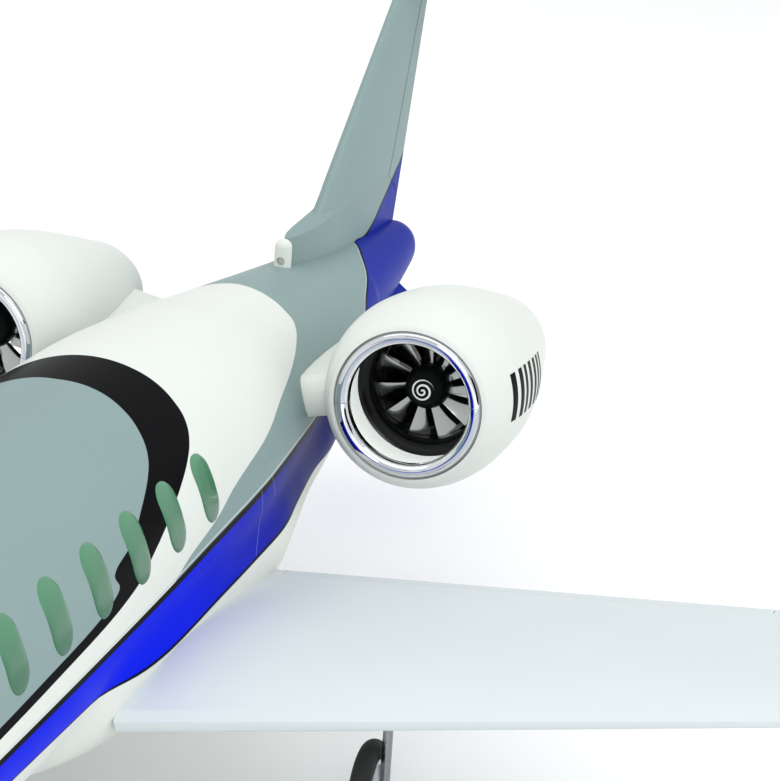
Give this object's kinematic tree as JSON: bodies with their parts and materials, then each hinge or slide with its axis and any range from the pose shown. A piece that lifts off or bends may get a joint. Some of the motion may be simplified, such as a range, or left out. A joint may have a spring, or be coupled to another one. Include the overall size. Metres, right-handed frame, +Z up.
{
  "type": "radio-controlled model airplane",
  "caption": "Ducted-fan model of a business jet: round cabin with window rows, rear nacelles with chrome lips, T-tail, plug-in wings with winglets, retracting wheels.",
  "frame": {"origin": "on the floor, under the middle of the model's box", "axes": "+X to port, +Y aft along the fuselage, +Z up; the model stands on its wheels"},
  "size_m": [1.4098, 1.73, 0.4163],
  "materials": {
    "white_film": "gloss",
    "grey_film": "gloss",
    "wing_film": "gloss",
    "blue_film": "gloss",
    "window_pane": "gloss",
    "chrome_plating": "polished",
    "black_plastic": "gloss",
    "equipment_case": "matte",
    "heat_sink": "satin",
    "battery_wrap": "satin",
    "plywood": "satin",
    "machined_aluminium": "satin",
    "steel_wire": "satin",
    "carbon_tube": "satin",
    "tyre_rubber": "matte"
  },
  "bodies": {
    "airframe": {"nose_shell": "white_film", "cabin_shell": "white_film", "tail_shell": "grey_film", "cockpit_glass": "window_pane", "cabin_windows": "window_pane", "belly_fairing": "white_film", "belly_screws": "steel_wire", "dorsal_scoop": "white_film", "fin": "grey_film", "tailplane": "white_film", "delta_fin_left": "blue_film", "delta_fin_right": "blue_film", "wing_left": "wing_film", "wing_right": "wing_film", "wing_joiners": "carbon_tube", "winglet_left": "blue_film", "winglet_right": "blue_film", "pylon_left": "white_film", "pylon_right": "white_film", "nacelle_left": "white_film", "nacelle_right": "white_film", "inlet_lip_left": "chrome_plating", "inlet_lip_right": "chrome_plating", "inlet_duct_left": "white_film", "inlet_duct_right": "white_film", "fan_shroud_left": "black_plastic", "fan_shroud_right": "black_plastic", "fan_motor_left": "machined_aluminium", "fan_motor_right": "machined_aluminium", "tailpipe_left": "white_film", "tailpipe_right": "white_film", "equipment_tray": "plywood", "battery": "battery_wrap", "speed_controllers": "heat_sink", "receiver": "equipment_case", "servos": "equipment_case", "retract_units": "machined_aluminium"},
    "hatch": {"hatch": "white_film"},
    "flap_left": {"flap_left": "wing_film"},
    "flap_right": {"flap_right": "wing_film"},
    "aileron_left": {"aileron_left": "wing_film"},
    "aileron_right": {"aileron_right": "wing_film"},
    "rudder": {"rudder": "blue_film"},
    "elevator": {"elevator_left": "white_film", "elevator_right": "white_film", "elevator_joiner": "steel_wire"},
    "fan_left": {"fan_rotor_left": "black_plastic", "spinner_left": "black_plastic"},
    "fan_right": {"fan_rotor_right": "black_plastic", "spinner_right": "black_plastic"},
    "nose_leg": {"nose_trunnion": "machined_aluminium"},
    "nose_fork": {"nose_fork": "machined_aluminium"},
    "nose_wheel": {"nose_hub": "machined_aluminium", "nose_tyre": "tyre_rubber"},
    "main_leg_left": {"main_leg_left": "steel_wire"},
    "main_wheel_left": {"main_hub_left": "machined_aluminium", "main_tyre_left": "tyre_rubber"},
    "main_leg_right": {"main_leg_right": "steel_wire"},
    "main_wheel_right": {"main_hub_right": "machined_aluminium", "main_tyre_right": "tyre_rubber"}
  },
  "joints": [
    {"name": "hatch_lift", "type": "slide", "parent": "airframe", "child": "hatch", "axis": [0, 0, 1], "range_m": [0, 0.06]},
    {"name": "flap_left_hinge", "type": "hinge", "parent": "airframe", "child": "flap_left", "pos_m": [0.24658, 0.149, 0.12396], "axis": [-0.9971, 0, -0.0767], "range_deg": [0, 35]},
    {"name": "aileron_left_hinge", "type": "hinge", "parent": "airframe", "child": "aileron_left", "pos_m": [0.52345, 0.155, 0.14928], "axis": [-0.9971, 0, -0.0767], "range_deg": [-22, 22]},
    {"name": "flap_right_hinge", "type": "hinge", "parent": "airframe", "child": "flap_right", "pos_m": [-0.24658, 0.149, 0.12396], "axis": [-0.9971, 0, 0.0767], "range_deg": [0, 35]},
    {"name": "aileron_right_hinge", "type": "hinge", "parent": "airframe", "child": "aileron_right", "pos_m": [-0.52345, 0.155, 0.14928], "axis": [-0.9971, 0, 0.0767], "range_deg": [-22, 22]},
    {"name": "rudder_hinge", "type": "hinge", "parent": "airframe", "child": "rudder", "pos_m": [0, 0.76338, 0.32273], "axis": [0, 0.4787, 0.878], "range_deg": [-25, 25]},
    {"name": "elevator_hinge", "type": "hinge", "parent": "airframe", "child": "elevator", "pos_m": [0, 0.831, 0.411], "axis": [1, 0, 0], "range_deg": [-20, 20]},
    {"name": "fan_left_spin", "type": "hinge", "parent": "airframe", "child": "fan_left", "pos_m": [0.148, 0.345, 0.211], "axis": [0, 1, 0], "continuous": true},
    {"name": "fan_right_spin", "type": "hinge", "parent": "airframe", "child": "fan_right", "pos_m": [-0.148, 0.345, 0.211], "axis": [0, 1, 0], "continuous": true},
    {"name": "nose_leg_retract", "type": "hinge", "parent": "airframe", "child": "nose_leg", "pos_m": [0, -0.565, 0.118], "axis": [-1, 0, 0], "range_deg": [0, 88]},
    {"name": "nose_steering", "type": "hinge", "parent": "nose_leg", "child": "nose_fork", "pos_m": [0, -0.565, 0.088], "axis": [0, 0, 1], "range_deg": [-30, 30]},
    {"name": "nose_wheel_spin", "type": "hinge", "parent": "nose_fork", "child": "nose_wheel", "pos_m": [0, -0.565, 0.023], "axis": [1, 0, 0], "continuous": true},
    {"name": "main_leg_left_retract", "type": "hinge", "parent": "airframe", "child": "main_leg_left", "pos_m": [0.19209, 0.1, 0.11525], "axis": [0, 1, 0], "range_deg": [0, 85]},
    {"name": "main_wheel_left_spin", "type": "hinge", "parent": "main_leg_left", "child": "main_wheel_left", "pos_m": [0.18259, 0.1, 0.029], "axis": [1, 0, 0], "continuous": true},
    {"name": "main_leg_right_retract", "type": "hinge", "parent": "airframe", "child": "main_leg_right", "pos_m": [-0.19209, 0.1, 0.11525], "axis": [0, -1, 0], "range_deg": [0, 85]},
    {"name": "main_wheel_right_spin", "type": "hinge", "parent": "main_leg_right", "child": "main_wheel_right", "pos_m": [-0.18259, 0.1, 0.029], "axis": [1, 0, 0], "continuous": true}
  ],
  "couplings": [
    {"joint": "flap_right_hinge", "follows": "flap_left_hinge", "ratio": 1},
    {"joint": "aileron_right_hinge", "follows": "aileron_left_hinge", "ratio": -1},
    {"joint": "main_leg_left_retract", "follows": "nose_leg_retract", "ratio": 0.9659},
    {"joint": "main_leg_right_retract", "follows": "nose_leg_retract", "ratio": 0.9659}
  ]
}
